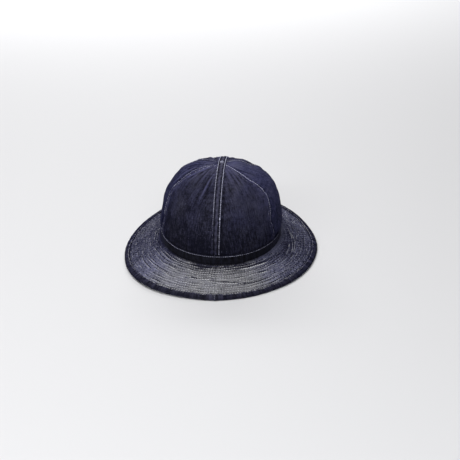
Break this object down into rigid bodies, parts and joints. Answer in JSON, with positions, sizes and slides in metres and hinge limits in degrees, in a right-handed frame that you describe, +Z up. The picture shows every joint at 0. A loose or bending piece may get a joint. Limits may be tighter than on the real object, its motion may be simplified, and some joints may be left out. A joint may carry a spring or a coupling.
{
  "type": "army hat",
  "caption": "Soft denim hat with a rounded panelled crown, a felled centre seam over the top, a narrow band and a row-stitched, sloping brim with a bound edge.",
  "frame": {"origin": "centre of the hat's bounding box on the level surface that the brim rests on", "axes": "+Z up, the front of the hat towards -Y, the wearer's left towards +X"},
  "size_m": [0.271, 0.311, 0.1325],
  "materials": {
    "denim": "dark indigo denim",
    "quilted_denim": "indigo denim, greyed by many rows of pale stitching"
  },
  "bodies": {
    "root": {"crown_front_left": "denim", "crown_front_right": "denim", "crown_side_left": "denim", "crown_side_right": "denim", "crown_back_left": "denim", "crown_back_right": "denim", "centre_seam": "denim", "band": "denim", "brim_left": "quilted_denim", "brim_right": "quilted_denim", "brim_binding": "denim"}
  },
  "joints": []
}
